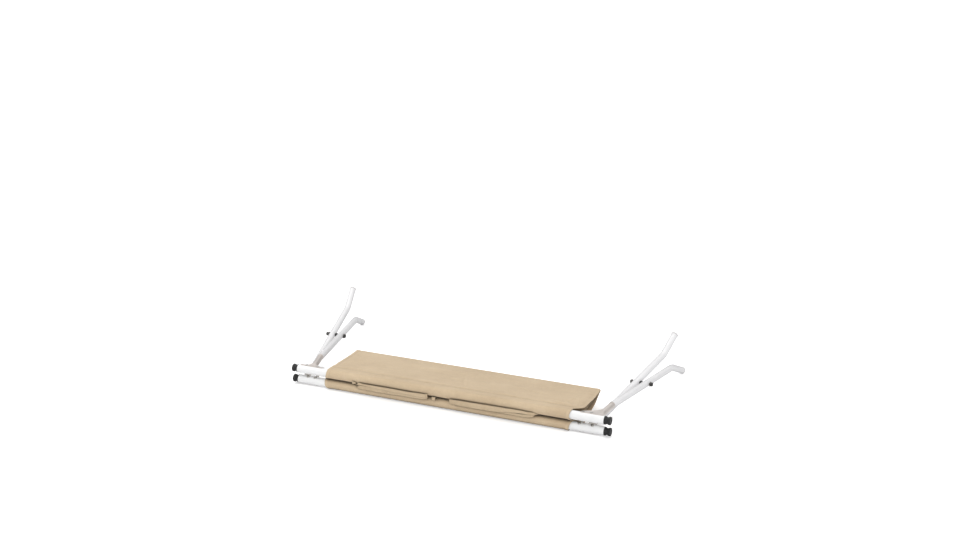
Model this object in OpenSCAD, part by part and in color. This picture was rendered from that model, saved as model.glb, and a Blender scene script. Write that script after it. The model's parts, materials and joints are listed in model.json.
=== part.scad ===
// Folding stretcher with a two-ply fabric bed, shown folded flat.
// Two identical tube frames lie one above the other and are turned half a
// turn about the Y axis to each other. X runs along the rails, +Y from the
// rails (front) to the feet (back), +Z up through the stack of rails.
// Parts are drawn in the upper frame, where Z = 0 is the middle plane between
// the frames; place() then tilts the folded set onto the floor.

/* [Rails] */
// Outside diameter of a rail
rail_od = 28; // [26:0.5:30]
// Wall of the rail tube
rail_wall = 1.5; // [1.2:0.1:2]
// Middle of the bed to the left rail ends
rail_left = 521.8; // [518:0.1:530]
// Middle of the bed to the right rail ends
rail_right = 530.2; // [520:0.1:534]
// Half of the distance between the two rail axes when folded
stack_half = 18.6; // [18.4:0.1:20]

/* [Legs] */
// Outside diameter of a leg
leg_od = 22; // [20:0.5:23]
// Wall of the leg tube
leg_wall = 1.5; // [1.2:0.1:2]
// Distance from the rail plane to the pivot
pivot_y = 307; // [300:1:315]
// Height of the leg axis over the middle plane, above the rail
leg_rise = 34.7; // [34:0.1:36]
// Place of the end leg's base along its rail
base_end = 508; // [504:1:510]
// Place of the inner leg's base along its rail
base_inner = 472; // [470:1:476]
// Middle of the pivot bolt along X
pivot_x = 552.8; // [550:0.1:556]
// Distance along X between the two crossing legs
leg_pitch = 32; // [31:0.5:34]
// Leg length from the rail to the bend
leg_straight = 500; // [480:1:520]
// Length of the bent foot
foot_len = 85; // [70:1:95]
// Bend of the foot
foot_bend = 23.4; // [15:0.1:30]
// Radius of the foot bend
bend_r = 70; // [50:1:90]

/* [Fittings] */
// Distance from the rail plane to the end of the leg tube
stem_y = 88; // [80:1:95]
// Height of the bracket stem where it leaves the saddle
stem_z = 22; // [20:0.5:24]
// How far the stem reaches into the leg tube
stem_in = 58; // [40:1:70]
// Thickness of the bracket saddle
saddle_t = 1.6; // [1.4:0.1:2]
// Bracket bolt shank diameter
bolt_d = 6; // [5:0.5:6]
// Pivot bolt shank diameter
pivot_d = 8; // [6:0.5:8]
// Radial running clearance at each pin
run_gap = 0.05; // [0.03:0.01:0.1]

/* [Bed] */
// Thickness of one ply
ply = 1.4; // [1:0.1:1.6]
// Sleeve end on the left
sleeve_l = 416; // [410:1:420]
// Sleeve end on the right
sleeve_r = 420; // [410:1:424]
// Bed end on the right, behind the rail
bed_r = 447; // [430:1:448]
// Distance from the rail plane to the back fold
fold_y = 219; // [215:1:222]

/* [Handles] */
// Length of a carry handle
handle_len = 284; // [240:1:290]
// Width of the handle webbing
handle_w = 19; // [15:0.5:20]

/* [Hidden] */
$fn = 64;

// Rails, saddles and bolts
fit_gap = 0.05;  // radial gap round a plug or stem in its tube
rail_r = rail_od / 2;
saddle_bore = rail_r + 0.1;
saddle_r = saddle_bore + saddle_t;
bolt_tilt = 76;  // bolt axis, from +Y up towards +Z
end_bolts = [base_end - 47, base_end - 21];
inner_bolts = [-base_inner - 21, -base_inner + 21];
all_bolts = concat(end_bolts, inner_bolts);
bolt_hole_d = bolt_d + 2 * run_gap;
head_h = 1.8;
head_seat = saddle_r - 0.07;
// edge of the bolt head: [radius, height over its seat]
head_rim = [[5.2, 0.5], [4.6, 1.2], [3.4, head_h - 0.1]];
drill_len = 40;

// Legs: a leg is [base x, pivot x]
leg_r = leg_od / 2;
stem_r = leg_r - leg_wall - fit_gap;
end_leg = [base_end, pivot_x + leg_pitch / 2];
inner_leg = [-base_inner, -pivot_x + leg_pitch / 2];
leg_pitch_angle = atan(leg_rise / pivot_y);
bend_tangent = bend_r * tan(foot_bend / 2);
foot_straight = foot_len - bend_tangent;
rivet_d = 4.8;

// sideways lean of a leg along X
function lean(leg) = atan((leg[1] - leg[0]) / norm([pivot_y, leg_rise]));
// turns a leg-local direction into the frame
function turn(leg, dir) =
  let (swing = lean(leg),
    x = dir[0] * cos(swing) + dir[1] * sin(swing),
    y = -dir[0] * sin(swing) + dir[1] * cos(swing),
    z = dir[2])
  [x,
   y * cos(leg_pitch_angle) + z * sin(leg_pitch_angle),
   -y * sin(leg_pitch_angle) + z * cos(leg_pitch_angle)];
function leg_dir(leg) = turn(leg, [0, 1, 0]);
function foot_dir(leg) = turn(leg, [0, cos(foot_bend), -sin(foot_bend)]);
// point on the leg axis at a distance from its base
function leg_point(leg, distance) = [leg[0], 0, leg_rise] + distance * leg_dir(leg);
function foot_end(leg, straight) = leg_point(leg, straight) + foot_len * foot_dir(leg);
// distance along the leg axis at which it reaches y
function along_leg(leg, y) = y / leg_dir(leg)[1];
function rivet_at(leg) = along_leg(leg, stem_y + 30);

// Bed section, seen from the rail axis
sleeve_in = rail_r + 0.3;
sleeve_out = sleeve_in + ply;
seam_drop = stack_half - 1.2;  // back fold below the rail axis
seam_r = norm([fold_y, seam_drop]);

// Opening: each frame turns by open_half until the back folds meet
reach = norm([pivot_y, stack_half]);
open_half = asin(seam_r / reach) - asin(stack_half / reach);
stand = [0, cos(open_half), sin(open_half)];  // down when open
level = foot_end(end_leg, leg_straight) * stand;
// the inner leg is made a little longer so that all four feet stand level
function straight_len(leg) =
  leg_straight + (level - foot_end(leg, leg_straight) * stand) / (leg_dir(leg) * stand);
function bend_start(leg) = straight_len(leg) - bend_tangent;

// Foot pad: its dome is part of a sphere centred inside the tube end
plug_r = leg_r + 0.6;
pad_r = 15;
pad_inset = 6;
pad_rim = sqrt(pow(pad_r, 2) - pow(plug_r, 2)) - pad_inset;
pad_flat_y = level + 10.9;

// Tilt at which the folded set lies on the four lower bolt heads and on two
// feet of the upper frame
function up(angle) = [0, sin(angle), cos(angle)];
function foot_dip(angle) = -foot_dir(end_leg) * up(angle);
// depth of the lower frame under its rail axis
function rest_depth(angle) = max(sleeve_out, max([for (point = head_rim)
  (head_seat + point[1]) * sin(bolt_tilt - angle) + point[0] * cos(bolt_tilt - angle)]));
// height of the upper frame's foot pad over the floor
function foot_gap(angle) = foot_end(end_leg, leg_straight) * up(angle)
  - pad_rim * foot_dip(angle) - plug_r * sqrt(1 - pow(foot_dip(angle), 2))
  + stack_half * cos(angle) + rest_depth(angle);
settle_slope = level * 0.0233;  // rough gain in foot gap per degree
function settle(angle, steps) =
  steps == 0 ? angle : settle(angle - foot_gap(angle) / settle_slope, steps - 1);
tilt = settle(4, 6);
floor_z = stack_half * cos(tilt) + rest_depth(tilt);
centre_y = 277.11;

// Placing
module place() { translate([0, -centre_y, floor_z]) rotate([tilt, 0, 0]) children(); }
module upper() { place() children(); }
module lower() { place() rotate([0, 180, 0]) children(); }
module at_leg(leg) {
  translate([leg[0], 0, leg_rise])
    rotate([-leg_pitch_angle, 0, 0])
      rotate([0, 0, -lean(leg)])
        children();
}
// start of the bent foot, with Y along the foot
module at_foot(leg) {
  at_leg(leg)
    translate([0, bend_start(leg), -bend_r])
      rotate([-foot_bend, 0, 0])
        translate([0, 0, bend_r])
          children();
}
// Z runs along the bolt, from the lower front of the rail to its upper back
module on_bolt(x) {
  translate([x, 0, stack_half]) rotate([bolt_tilt - 90, 0, 0]) children();
}
// side: 1 right, -1 left; X runs outwards along the pivot
module on_pivot(side) {
  translate([0, pivot_y, 0]) rotate([0, side > 0 ? 0 : 180, 0]) children();
}

// Basic shapes
module rod_x(radius, from, to) {
  translate([from, 0, 0]) rotate([0, 90, 0]) cylinder(r = radius, h = to - from);
}
module rod_y(radius, from, to) {
  translate([0, from, 0]) rotate([-90, 0, 0]) cylinder(r = radius, h = to - from);
}
module rod_between(start, end, radius) {
  span = end - start;
  translate(start)
    rotate([0, acos(span[2] / norm(span)), atan2(span[1], span[0])])
      cylinder(r = radius, h = norm(span), $fn = 48);
}
// runs a section in the YZ plane along X, seen from the rail axis
module extrude_x(from, to) {
  translate([from, 0, stack_half])
    rotate([90, 0, 90])
      linear_extrude(height = to - from)
        children();
}

// Rail tube from -left to right, drilled for its four bracket bolts
module rail(left, right) {
  difference() {
    translate([0, 0, stack_half]) rod_x(rail_r, -left, right);
    translate([0, 0, stack_half]) rod_x(rail_r - rail_wall, -left - 1, right + 1);
    for (x = all_bolts)
      on_bolt(x)
        translate([0, 0, -drill_len / 2])
          cylinder(d = bolt_hole_d, h = drill_len, $fn = 32);
  }
}

// Spool-shaped rail plug: a stem in the tube, two flanges and a waist
cap_stem_r = rail_r - rail_wall - fit_gap;
flange_r = 13;
waist_depth = 2.2;
waist_start = 4.4;
waist_len = 10.2;
// [radius, distance out of the rail end]
cap_profile = concat(
  [[0, -20], [10.5, -20], [12.2, -17.5], [cap_stem_r, -16], [cap_stem_r, 0.05],
   [12.5, 0.05], [flange_r, 0.9], [flange_r, waist_start]],
  [for (a = [15:15:165]) [flange_r - waist_depth * sin(a), waist_start + waist_len * a / 180]],
  [[flange_r, waist_start + waist_len], [flange_r, 18.9],
   [12.5, 20.1], [11.3, 20.6], [7.4, 20.6], [6.6, 19.6], [0, 19.6]]);
module cap_plug(side, rail_end) {
  translate([side * rail_end, 0, stack_half])
    rotate([0, 0, side > 0 ? 0 : 180])
      rotate([0, 90, 0])
        rotate_extrude($fn = 72) polygon(cap_profile);
}

// Bent leg tube with its pivot bore and rivet bore
tube_lap = 0.8;      // straight tubes run this far into the bend
bend_swell = 0.05;   // the bend's wall is this much fuller on both faces
module leg_tube(from, to) {
  difference() {
    rod_y(leg_r, from, to);
    rod_y(leg_r - leg_wall, from - 1, to + 1);
  }
}
module rivet_hole(leg) {
  at_leg(leg)
    translate([0, rivet_at(leg), -drill_len / 2])
      cylinder(d = rivet_d + 2 * run_gap, h = drill_len, $fn = 32);
}
module leg_bend(leg) {
  at_leg(leg)
    translate([0, bend_start(leg), -bend_r])
      rotate([0, -90, 0])
        rotate_extrude(angle = foot_bend, $fn = 120)
          translate([bend_r, 0])
            difference() {
              circle(r = leg_r + bend_swell, $fn = 64);
              circle(r = leg_r - leg_wall - bend_swell, $fn = 64);
            }
}
module bent_leg(leg) {
  difference() {
    at_leg(leg) leg_tube(along_leg(leg, stem_y) + 1.5, bend_start(leg) + tube_lap);
    translate([0, pivot_y, 0]) rod_x(pivot_d / 2 + run_gap, leg[1] - 40, leg[1] + 40);
    rivet_hole(leg);
  }
  leg_bend(leg);
  at_foot(leg) leg_tube(-tube_lap, foot_straight);
}

// Foot plug: stem in the tube and a domed pad with a flat that stands level when open
module foot_plug(leg) {
  difference() {
    at_foot(leg) translate([0, foot_straight, 0]) {
      rotate([-90, 0, 0]) rotate_extrude($fn = 64)
        polygon([[0, -14], [8.6, -14], [stem_r, -12], [stem_r, 0.4], [0, 0.4]]);
      intersection() {
        rod_y(plug_r, 0.05, 10);
        translate([0, -pad_inset, 0]) sphere(r = pad_r, $fn = 96);
      }
    }
    rotate([open_half, 0, 0])
      translate([leg[0] - 200, pad_flat_y, -700])
        cube([400, 60, 800]);
  }
}

// T bracket: saddle on the rail, cranked stem for the leg and a web on each side
root_y = 7;       // start of the stem behind the rail axis
web_z = 25.4;
web_t = 7.2;
web_front = 9;    // the web's curved edge starts here
web_neck = 8.6;   // half width where the curved edge ends
// saddle: open in front and below
module saddle(from, to) {
  difference() {
    translate([0, 0, stack_half]) rod_x(saddle_r, from, to);
    extrude_x(from - 1, to + 1)
      polygon(concat([[0, 0]], [for (a = [97:19:325]) 60 * [cos(a), sin(a)]]));
  }
}
// web from the saddle to the stem, width long on the rail; side: 1 towards +X, -1 towards -X
module web(root, knee, side, width) {
  slope = (knee[0] - root[0]) / (knee[1] - root[1]);
  depth = 0.62 * min(width, 48);
  tip_y = web_front + 3 + depth;
  translate([root[0], 0, web_z]) linear_extrude(height = web_t) polygon(concat(
    [[0, 5], [side * width, 5], [side * width, web_front]],
    [for (t = [0.1:0.1:1])
      let (y = web_front + depth * t)
      [side * (width - (width - web_neck) * sin(90 * t)) + slope * y * t, y]],
    [[slope * tip_y, tip_y]]));
}
// ends: saddle ends from the leg base; webs: web widths; both as [-X side, +X side]
module bracket(leg, ends, webs, bolts) {
  from = leg[0] + ends[0];
  to = leg[0] + ends[1];
  knee = leg_point(leg, along_leg(leg, stem_y));
  root = [leg[0] + (knee[0] - leg[0]) * root_y / stem_y, root_y, stem_z];
  difference() {
    union() {
      saddle(from, to);
      rod_between(root, knee, stem_r + 0.25);
      at_leg(leg) rod_y(stem_r, along_leg(leg, stem_y - 6), along_leg(leg, stem_y + stem_in));
      web(root, knee, -1, webs[0]);
      web(root, knee, 1, webs[1]);
    }
    translate([0, 0, stack_half]) rod_x(saddle_bore, from - 60, to + 60);
    rivet_hole(leg);
    for (x = bolts) on_bolt(x) {
      cylinder(d = bolt_hole_d, h = drill_len, $fn = 32);
      // flat under the bolt head
      translate([0, 0, saddle_r - 0.08]) cylinder(r = 5.8, h = 20, $fn = 32);
    }
  }
}
module bracket_end() { bracket(end_leg, [-54, 18], [54, 18], end_bolts); }
module bracket_inner() { bracket(inner_leg, [-41, 38], [20, 20], inner_bolts); }

// Bracket bolts and nuts
bolt_tail = 3.4;  // shank past the rail
nut_h = 3.2;
module bracket_bolts() {
  for (x = all_bolts) on_bolt(x) {
    translate([0, 0, -rail_r - bolt_tail])
      cylinder(d = bolt_d, h = rail_r + bolt_tail + saddle_r + 0.4, $fn = 32);
    translate([0, 0, head_seat]) rotate_extrude($fn = 40)
      polygon(concat([[0, 0], [head_rim[0][0], 0]], head_rim, [[2.6, head_h], [0, head_h]]));
  }
}
module bracket_nuts() {
  for (x = all_bolts) on_bolt(x) translate([0, 0, -rail_r - nut_h - 0.02]) difference() {
    intersection() {
      cylinder(d = 11.2, h = nut_h, $fn = 6);
      cylinder(d1 = 9.6, d2 = 14.6, h = nut_h, $fn = 40);
    }
    translate([0, 0, -1]) cylinder(d = bolt_d + 0.04, h = 6, $fn = 32);
  }
}

// Rivets through leg and stem, with a domed head at each end: [radius, height]
rivet_head = [[0, 0], [4.2, 0], [4, 0.8], [3, 1.5], [1.6, 1.9], [0, 2]];
module rivets() {
  for (leg = [end_leg, inner_leg]) at_leg(leg) translate([0, rivet_at(leg), 0]) {
    translate([0, 0, -leg_r - 0.4]) cylinder(d = rivet_d, h = leg_od + 0.8, $fn = 32);
    for (flip = [0, 180])
      rotate([flip, 0, 0])
        translate([0, 0, leg_r + 0.03])
          rotate_extrude($fn = 36) polygon(rivet_head);
  }
}

// Pivot parts in the right-hand place; the inner leg is on the bed side
leg_face = 12.7;  // leg axis to the pivot parts beside it
near_leg_x = pivot_x - leg_pitch / 2;
far_leg_x = pivot_x + leg_pitch / 2;
near_face = near_leg_x - leg_face;
far_face = far_leg_x + leg_face;
pivot_seat = 1.7;  // bolt head and nut stand off the faces, over the washers
washer_t = 1.48;
// [radius, height]
pivot_head = [[0, 0], [6.6, 0], [6.6, 3.2], [5.8, 4.6], [4.2, 5.5], [0, 5.9]];
module pivot_bolt(side) {
  on_pivot(side) {
    rod_x(pivot_d / 2, near_face - 2, far_face + 9);
    translate([near_face - pivot_seat, 0, 0])
      rotate([0, -90, 0])
        rotate_extrude($fn = 48) polygon(pivot_head);
  }
}
module pivot_nut(side) {
  on_pivot(side) difference() {
    translate([far_face + pivot_seat, 0, 0]) rotate([0, 90, 0]) union() {
      cylinder(d = 14.6, h = 5.4, $fn = 6);
      cylinder(d = 11.6, h = 7.6, $fn = 40);
    }
    rod_x(pivot_d / 2 + 0.03, near_face, far_face + 30);
  }
}
module pivot_spacer(side) {
  on_pivot(side) difference() {
    rod_x(6.6, near_leg_x + leg_face, far_leg_x - leg_face);
    rod_x(pivot_d / 2 + run_gap, pivot_x - 20, pivot_x + 20);
  }
}
module pivot_washer_set() {
  for (side = [1, -1]) on_pivot(side)
    for (x = [near_face - 1.66, far_face + 0.14]) difference() {
      rod_x(8, x, x + washer_t);
      rod_x(pivot_d / 2 + 0.04, x - 1, x + 3);
    }
}

// Bed half: a loop round the rail whose two plies run to the back fold
seam_angle = -atan(seam_drop / fold_y);
tangent_angle = acos(sleeve_out / seam_r);
loop_steps = 40;
split_y = 154;     // back edge of the main part
strip_trim = 0.6;  // the fold strip stops short by this at both edges
function loop_points(radius) = concat(
  [for (i = [0:loop_steps])
    let (a = seam_angle + tangent_angle + (360 - 2 * tangent_angle) * i / loop_steps)
    [radius * cos(a), radius * sin(a)]],
  [seam_r * radius / sleeve_out * [cos(seam_angle), sin(seam_angle)]]);
// one half of the bed between two distances from the rail plane
module bed_half(from_y, to_y) {
  difference() {
    extrude_x(-sleeve_l, bed_r) intersection() {
      difference() {
        polygon(loop_points(sleeve_out));
        polygon(loop_points(sleeve_in));
      }
      translate([from_y, -60]) square([to_y - from_y, 120]);
    }
    // the sleeve stops short of the bed's right end
    translate([sleeve_r, -60, -60]) cube([100, 94, 160]);
  }
}
module bed_main() { bed_half(-30, split_y); }
module bed_fold() { bed_half(split_y + strip_trim, fold_y - strip_trim); }
// the lower half is the mirror image of the upper one
module lower_bed() { place() mirror([0, 0, 1]) children(); }

// Carry handle: flat webbing in front of the gap, its two ends tucked between the rails
webbing_t = 2.6;
webbing_y = -17.6;
tuck = [26, 48, 3];
tuck_inset = 4;
module handle(left_x) {
  place() {
    translate([left_x, webbing_y, -handle_w / 2]) cube([handle_len, webbing_t, handle_w]);
    for (x = [left_x + tuck_inset, left_x + handle_len - tuck_inset - tuck[0]])
      translate([x, -15.2, -tuck[2] / 2]) cube(tuck);
  }
}

// Nodes: the lower frame's end leg comes out on the left
module lower_rail() { color("whitesmoke") lower() rail(rail_right, rail_left); }
module upper_rail() { color("whitesmoke") upper() rail(rail_left, rail_right); }
module lower_rail_cap_left() { color([0.05, 0.05, 0.05]) lower() cap_plug(1, rail_left); }
module lower_rail_cap_right() { color([0.05, 0.05, 0.05]) lower() cap_plug(-1, rail_right); }
module upper_rail_cap_left() { color([0.05, 0.05, 0.05]) upper() cap_plug(-1, rail_left); }
module upper_rail_cap_right() { color([0.05, 0.05, 0.05]) upper() cap_plug(1, rail_right); }
module lower_leg_left() { color("whitesmoke") lower() bent_leg(end_leg); }
module lower_leg_right() { color("whitesmoke") lower() bent_leg(inner_leg); }
module upper_leg_left() { color("whitesmoke") upper() bent_leg(inner_leg); }
module upper_leg_right() { color("whitesmoke") upper() bent_leg(end_leg); }
module lower_foot_plug_left() { color("gray") lower() foot_plug(end_leg); }
module lower_foot_plug_right() { color("gray") lower() foot_plug(inner_leg); }
module upper_foot_plug_left() { color("gray") upper() foot_plug(inner_leg); }
module upper_foot_plug_right() { color("gray") upper() foot_plug(end_leg); }
module lower_bracket_left() { color("silver") lower() bracket_end(); }
module lower_bracket_right() { color("silver") lower() bracket_inner(); }
module upper_bracket_left() { color("silver") upper() bracket_inner(); }
module upper_bracket_right() { color("silver") upper() bracket_end(); }
module lower_bracket_bolts() { color("silver") lower() bracket_bolts(); }
module upper_bracket_bolts() { color("silver") upper() bracket_bolts(); }
module lower_bracket_nuts() { color("silver") lower() bracket_nuts(); }
module upper_bracket_nuts() { color("silver") upper() bracket_nuts(); }
module lower_leg_rivets() { color("silver") lower() rivets(); }
module upper_leg_rivets() { color("silver") upper() rivets(); }
module pivot_bolt_left() { color([0.1, 0.1, 0.1]) place() pivot_bolt(-1); }
module pivot_bolt_right() { color([0.1, 0.1, 0.1]) place() pivot_bolt(1); }
module pivot_nut_left() { color([0.1, 0.1, 0.1]) place() pivot_nut(-1); }
module pivot_nut_right() { color([0.1, 0.1, 0.1]) place() pivot_nut(1); }
module pivot_spacer_left() { color([0.1, 0.1, 0.1]) place() pivot_spacer(-1); }
module pivot_spacer_right() { color([0.1, 0.1, 0.1]) place() pivot_spacer(1); }
module pivot_washers() { color("silver") place() pivot_washer_set(); }
module upper_canvas() { color("tan") place() bed_main(); }
module upper_canvas_fold() { color("tan") place() bed_fold(); }
module lower_canvas() { color("tan") lower_bed() bed_main(); }
module lower_canvas_fold() { color("tan") lower_bed() bed_fold(); }
module carry_handle_left() { color("burlywood") handle(-320); }
module carry_handle_right() { color("burlywood") handle(18); }

lower_rail();
upper_rail();
lower_rail_cap_left();
lower_rail_cap_right();
upper_rail_cap_left();
upper_rail_cap_right();
lower_leg_left();
lower_leg_right();
upper_leg_left();
upper_leg_right();
lower_foot_plug_left();
lower_foot_plug_right();
upper_foot_plug_left();
upper_foot_plug_right();
lower_bracket_left();
lower_bracket_right();
upper_bracket_left();
upper_bracket_right();
lower_bracket_bolts();
upper_bracket_bolts();
lower_bracket_nuts();
upper_bracket_nuts();
lower_leg_rivets();
upper_leg_rivets();
pivot_bolt_left();
pivot_bolt_right();
pivot_nut_left();
pivot_nut_right();
pivot_spacer_left();
pivot_spacer_right();
pivot_washers();
upper_canvas();
upper_canvas_fold();
lower_canvas();
lower_canvas_fold();
carry_handle_left();
carry_handle_right();
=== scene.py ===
# A folded frame with a canvas bed. Two rails lie side by side with the legs folded behind them;
# each half of the bed wraps its own rail, and two webbing carry handles hang out of the gap.
# Shapes are laid out in the fold frame, in millimetres: +X along the rails to the right,
# +Y from the rails back to the feet, +Z from the lower rail to the upper one. Its origin is
# midway between the rails, so the front, where the handles are, faces -Y.
import json
import math

import bmesh
import bpy
import numpy as np
from mathutils import Matrix, Vector

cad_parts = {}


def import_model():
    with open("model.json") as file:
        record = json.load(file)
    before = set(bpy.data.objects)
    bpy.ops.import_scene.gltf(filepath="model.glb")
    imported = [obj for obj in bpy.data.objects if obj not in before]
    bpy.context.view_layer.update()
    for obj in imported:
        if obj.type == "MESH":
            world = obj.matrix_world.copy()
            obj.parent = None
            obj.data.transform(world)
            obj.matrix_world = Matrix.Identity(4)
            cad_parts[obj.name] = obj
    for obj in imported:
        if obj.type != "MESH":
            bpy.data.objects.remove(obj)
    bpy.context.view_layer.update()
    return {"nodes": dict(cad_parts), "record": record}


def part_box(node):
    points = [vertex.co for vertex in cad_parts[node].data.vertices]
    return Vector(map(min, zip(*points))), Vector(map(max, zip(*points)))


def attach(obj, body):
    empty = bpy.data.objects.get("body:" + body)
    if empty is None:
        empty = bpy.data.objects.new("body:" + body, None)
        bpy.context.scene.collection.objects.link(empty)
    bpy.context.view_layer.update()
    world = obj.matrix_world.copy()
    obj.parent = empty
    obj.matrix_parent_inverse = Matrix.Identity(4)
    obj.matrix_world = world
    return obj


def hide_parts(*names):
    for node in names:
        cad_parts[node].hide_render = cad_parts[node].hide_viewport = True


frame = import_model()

MM = 0.001

# ---------------------------------------------------------------------------
# fold frame
# ---------------------------------------------------------------------------


def box_middle(name):
    low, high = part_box(name)
    return (low + high) / 2


upper_rail, lower_rail = box_middle("upper_rail"), box_middle("lower_rail")
ORIGIN = (upper_rail + lower_rail) / 2
ORIGIN.x = 0.0
Z_AXIS = (upper_rail - lower_rail).normalized()
X_AXIS = Vector((1, 0, 0))
Y_AXIS = Z_AXIS.cross(X_AXIS).normalized()
AXES = np.array([X_AXIS[:], Y_AXIS[:], Z_AXIS[:]])
RAIL_Z = (upper_rail - lower_rail).length / 2 * 1000  # each rail's distance from the origin


def world(points):
    """Fold-frame millimetres to world metres."""
    return np.array(ORIGIN[:]) + (np.asarray(points, float) @ AXES) * MM


def to_half(points, side):
    """World places of points given about the upper rail; side -1 mirrors them to the lower."""
    return world(points * (1, 1, side) + (0, 0, side * RAIL_Z))


# ---------------------------------------------------------------------------
# shared helpers
# ---------------------------------------------------------------------------


def add_object(name, data):
    obj = bpy.data.objects.new(name, data)
    bpy.context.scene.collection.objects.link(obj)
    return obj


def add_mesh(name, verts, faces, uv=None, materials=(), face_material=None, attributes=None):
    mesh = bpy.data.meshes.new(name)
    mesh.from_pydata([tuple(v) for v in verts], [], [tuple(int(i) for i in f) for f in faces])
    mesh.update()
    if uv is not None:
        layer = mesh.uv_layers.new(name="cloth")
        index = np.zeros(len(mesh.loops), np.int32)
        mesh.loops.foreach_get("vertex_index", index)
        layer.data.foreach_set("uv", np.asarray(uv, np.float32)[index].ravel())
    for key, values in (attributes or {}).items():
        attribute = mesh.attributes.new(key, "FLOAT", "POINT")
        attribute.data.foreach_set("value", np.asarray(values, np.float32))
    for material in materials:
        mesh.materials.append(material)
    if face_material is not None:
        mesh.polygons.foreach_set("material_index", np.asarray(face_material, np.int32))
    mesh.polygons.foreach_set("use_smooth", [True] * len(mesh.polygons))
    return add_object(name, mesh)


def fix_normals(obj):
    mesh = bmesh.new()
    mesh.from_mesh(obj.data)
    bmesh.ops.recalc_face_normals(mesh, faces=mesh.faces)
    mesh.to_mesh(obj.data)
    mesh.free()


def smooth(t):
    """Smoothstep from 0 to 1."""
    t = np.clip(t, 0, 1)
    return t * t * (3 - 2 * t)


def bell(offset, width):
    return np.exp(-((offset / width) ** 2))


def value_noise(x, y, size_x, size_y, seed):
    """Smooth noise in -1..1 with feature sizes size_x and size_y."""
    grid = np.random.default_rng(seed).uniform(-1, 1, (64, 64))
    u, v = np.asarray(x) / size_x + 31.7, np.asarray(y) / size_y + 17.3
    i, j = np.floor(u).astype(int), np.floor(v).astype(int)
    mix_u, mix_v = smooth(u - i), smooth(v - j)

    def row(j):
        return grid[i % 64, j % 64] * (1 - mix_u) + grid[(i + 1) % 64, j % 64] * mix_u

    return row(j) * (1 - mix_v) + row(j + 1) * mix_v


# ---------------------------------------------------------------------------
# node helpers
# ---------------------------------------------------------------------------


class Nodes:
    """Builds into a cleared node tree."""

    def __init__(self, tree):
        self.tree = tree
        tree.nodes.clear()

    def node(self, kind, **properties):
        node = self.tree.nodes.new(kind)
        for key, value in properties.items():
            setattr(node, key, value)
        return node

    def link(self, output, socket):
        self.tree.links.new(output, socket)

    def set(self, node, **values):
        for key, value in values.items():
            node.inputs[key.replace("_", " ")].default_value = value

    def math(self, operation, *values, clamp=False):
        node = self.node("ShaderNodeMath", operation=operation, use_clamp=clamp)
        for i, value in enumerate(values):
            if isinstance(value, (int, float)):
                node.inputs[i].default_value = value
            else:
                self.link(value, node.inputs[i])
        return node.outputs[0]

    def scaled(self, value, gain, offset):
        return self.math("MULTIPLY_ADD", value, gain, offset)

    def weighed(self, first, first_weight, second, second_weight):
        return self.math("ADD", self.math("MULTIPLY", first, first_weight),
                         self.math("MULTIPLY", second, second_weight))

    def noise(self, vector, scale=1.0, detail=3.0, rough=0.55, stretch=None):
        if stretch is not None:
            mapping = self.node("ShaderNodeMapping")
            self.set(mapping, Scale=stretch)
            self.link(vector, mapping.inputs["Vector"])
            vector = mapping.outputs[0]
        node = self.node("ShaderNodeTexNoise")
        self.set(node, Scale=scale, Detail=detail, Roughness=rough)
        self.link(vector, node.inputs["Vector"])
        return node.outputs["Fac"]

    def ramp(self, factor, stops):
        """stops: (position, grey value or colour), in rising order."""
        node = self.node("ShaderNodeValToRGB")
        elements = node.color_ramp.elements
        while len(elements) < len(stops):
            elements.new(0.5)
        for i, (position, color) in enumerate(stops):
            if isinstance(color, (int, float)):
                color = (color,) * 3
            elements[i].position = position
            elements[i].color = (*color, 1)
        self.link(factor, node.inputs[0])
        return node.outputs[0]

    def mix(self, factor, first, second, mode="MIX"):
        node = self.node("ShaderNodeMix", data_type="RGBA", blend_type=mode)
        # inputs 6 and 7 and output 2 are the colour sockets
        for i, value in ((0, factor), (6, first), (7, second)):
            if isinstance(value, tuple):
                node.inputs[i].default_value = (*value, 1)
            elif isinstance(value, (int, float)):
                node.inputs[i].default_value = value
            else:
                self.link(value, node.inputs[i])
        return node.outputs[2]

    def bump(self, height, strength, distance, under=None):
        """Bump on top of the normal given as under; distance in metres."""
        node = self.node("ShaderNodeBump")
        self.set(node, Strength=strength, Distance=distance)
        self.link(height, node.inputs["Height"])
        if under is not None:
            self.link(under, node.inputs["Normal"])
        return node.outputs[0]

    def coords(self, kind="Object"):
        return self.node("ShaderNodeTexCoord").outputs[kind]


class Surface(Nodes):
    """A new material with a Principled shader on its output."""

    def __init__(self, name):
        self.material = bpy.data.materials.new(name)
        self.material.use_nodes = True
        super().__init__(self.material.node_tree)
        output = self.node("ShaderNodeOutputMaterial")
        self.shader = self.node("ShaderNodeBsdfPrincipled")
        self.link(self.shader.outputs[0], output.inputs[0])

    def finish(self, color, roughness, normal, **shader_values):
        for key, value in (("Base Color", color), ("Roughness", roughness), ("Normal", normal)):
            self.link(value, self.shader.inputs[key])
        self.set(self.shader, **shader_values)
        return self.material


def tint(color, gain, lift=0.0):
    return tuple(min(1, gain * c + lift) for c in color)


# ---------------------------------------------------------------------------
# materials
# ---------------------------------------------------------------------------

ZIGZAG_BAND = 0.0095  # width of one slanted band of the zigzag weave, metres
ZIGZAG_SHIFT = 2.4  # how far the bands lean, radians of thread phase


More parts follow.
